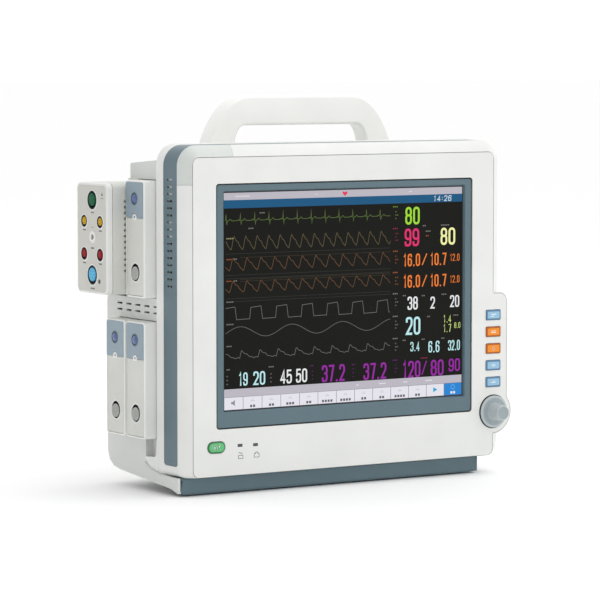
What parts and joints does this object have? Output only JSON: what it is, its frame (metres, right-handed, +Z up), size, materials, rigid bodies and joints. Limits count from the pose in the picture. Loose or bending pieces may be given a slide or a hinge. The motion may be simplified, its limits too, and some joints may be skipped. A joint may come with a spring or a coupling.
{
  "type": "patient monitor",
  "caption": "Bedside patient monitor: wide front display, keys and push-turn knob at the right, carrying handle, slide-in measurement modules on the left side.",
  "frame": {"origin": "centre of the four-screw pattern in the underside of the base", "axes": "+Z up, the screen faces -Y, +X to the right of a person facing the screen"},
  "size_m": [0.4604, 0.186, 0.413],
  "materials": {
    "off_white": "satin moulded plastic, fine grain",
    "light_grey": "satin moulded plastic, fine grain",
    "slate": "satin slate-grey moulded plastic",
    "pale_grey": "satin moulded plastic",
    "screen_glass": "clear glossy touch screen over a dark display",
    "display": "display module in a metal tray",
    "lens": "frosted translucent lamp lens",
    "indicator": "smoked lens",
    "circuit_board": "green circuit board",
    "steel": "zinc-plated sheet steel",
    "inner_case": "sealed inner unit",
    "rubber": "soft black rubber",
    "black_plastic": "black plastic",
    "brass": "plated brass",
    "key_blue": "translucent light blue key",
    "key_orange": "translucent orange key",
    "power_green": "green key",
    "knob_grey": "satin blue-grey plastic",
    "button_blue": "glossy blue dome",
    "port_green": "green connector",
    "port_yellow": "yellow connector",
    "port_red": "red connector",
    "port_blue": "light blue connector"
  },
  "bodies": {
    "housing": {"front_bezel": "off_white", "screen_frame": "slate", "touch_glass": "screen_glass", "lcd_panel": "display", "alarm_lens": "lens", "alarm_board": "circuit_board", "indicator_lenses": "indicator", "key_board": "circuit_board", "encoder_body": "steel", "mid_frame": "off_white", "trim_band": "slate", "rear_cover": "light_grey", "handle": "off_white", "base": "slate", "feet": "rubber", "mounting_plate": "steel", "chassis": "steel", "module_rack": "steel", "backplane": "circuit_board", "main_board": "circuit_board", "power_supply": "inner_case", "battery": "inner_case", "door_pin": "steel", "speaker": "black_plastic", "ac_inlet": "black_plastic", "ground_post": "brass", "signal_sockets": "pale_grey", "rear_screws": "steel", "handle_screws": "steel"},
    "power_button": {"power_button": "power_green"},
    "key_1": {"key_1": "key_blue"},
    "key_2": {"key_2": "key_orange"},
    "key_3": {"key_3": "key_orange"},
    "key_4": {"key_4": "key_blue"},
    "key_5": {"key_5": "key_blue"},
    "knob_push": {"encoder_plunger": "black_plastic"},
    "knob": {"knob": "knob_grey", "encoder_shaft": "steel"},
    "battery_door": {"battery_door": "light_grey"},
    "multi_module": {"multi_case": "off_white", "multi_face": "off_white", "multi_connector": "black_plastic", "ecg_socket": "port_green", "temp_sockets": "port_yellow", "ibp_sockets": "port_red", "spo2_socket": "port_blue", "nibp_port": "off_white"},
    "upper_module": {"upper_case": "off_white", "upper_cap": "slate", "upper_socket": "pale_grey"},
    "upper_release": {"upper_button": "button_blue"},
    "front_module": {"front_case": "off_white", "front_cap": "slate", "front_socket": "pale_grey"},
    "front_release": {"front_button": "button_blue"},
    "rear_module": {"rear_case": "off_white", "rear_cap": "slate", "rear_socket": "pale_grey"},
    "rear_release": {"rear_button": "button_blue"}
  },
  "joints": [
    {"name": "power_press", "type": "slide", "parent": "housing", "child": "power_button", "axis": [0, 1, 0], "range_m": [0, 0.0015], "stiffness_N_per_m": 1500},
    {"name": "key_1_press", "type": "slide", "parent": "housing", "child": "key_1", "axis": [0, 1, 0], "range_m": [0, 0.001], "stiffness_N_per_m": 1500},
    {"name": "key_2_press", "type": "slide", "parent": "housing", "child": "key_2", "axis": [0, 1, 0], "range_m": [0, 0.001], "stiffness_N_per_m": 1500},
    {"name": "key_3_press", "type": "slide", "parent": "housing", "child": "key_3", "axis": [0, 1, 0], "range_m": [0, 0.001], "stiffness_N_per_m": 1500},
    {"name": "key_4_press", "type": "slide", "parent": "housing", "child": "key_4", "axis": [0, 1, 0], "range_m": [0, 0.001], "stiffness_N_per_m": 1500},
    {"name": "key_5_press", "type": "slide", "parent": "housing", "child": "key_5", "axis": [0, 1, 0], "range_m": [0, 0.001], "stiffness_N_per_m": 1500},
    {"name": "knob_press", "type": "slide", "parent": "housing", "child": "knob_push", "axis": [0, 1, 0], "range_m": [0, 0.0008], "stiffness_N_per_m": 1500},
    {"name": "knob_turn", "type": "hinge", "parent": "knob_push", "child": "knob", "pos_m": [0.1918, -0.08, 0.0664], "axis": [0, -1, 0], "continuous": true},
    {"name": "battery_door_hinge", "type": "hinge", "parent": "housing", "child": "battery_door", "pos_m": [0.2014, 0.035, 0.151], "axis": [0, 0, 1], "range_deg": [0, 95]},
    {"name": "multi_slide", "type": "slide", "parent": "housing", "child": "multi_module", "axis": [-1, 0, 0], "range_m": [0, 0.075]},
    {"name": "upper_slide", "type": "slide", "parent": "housing", "child": "upper_module", "axis": [-1, 0, 0], "range_m": [0, 0.1]},
    {"name": "upper_release_press", "type": "slide", "parent": "upper_module", "child": "upper_release", "axis": [1, 0, 0], "range_m": [0, 0.0012], "stiffness_N_per_m": 1500},
    {"name": "front_slide", "type": "slide", "parent": "housing", "child": "front_module", "axis": [-1, 0, 0], "range_m": [0, 0.1]},
    {"name": "front_release_press", "type": "slide", "parent": "front_module", "child": "front_release", "axis": [1, 0, 0], "range_m": [0, 0.0012], "stiffness_N_per_m": 1500},
    {"name": "rear_slide", "type": "slide", "parent": "housing", "child": "rear_module", "axis": [-1, 0, 0], "range_m": [0, 0.1]},
    {"name": "rear_release_press", "type": "slide", "parent": "rear_module", "child": "rear_release", "axis": [1, 0, 0], "range_m": [0, 0.0012], "stiffness_N_per_m": 1500}
  ]
}
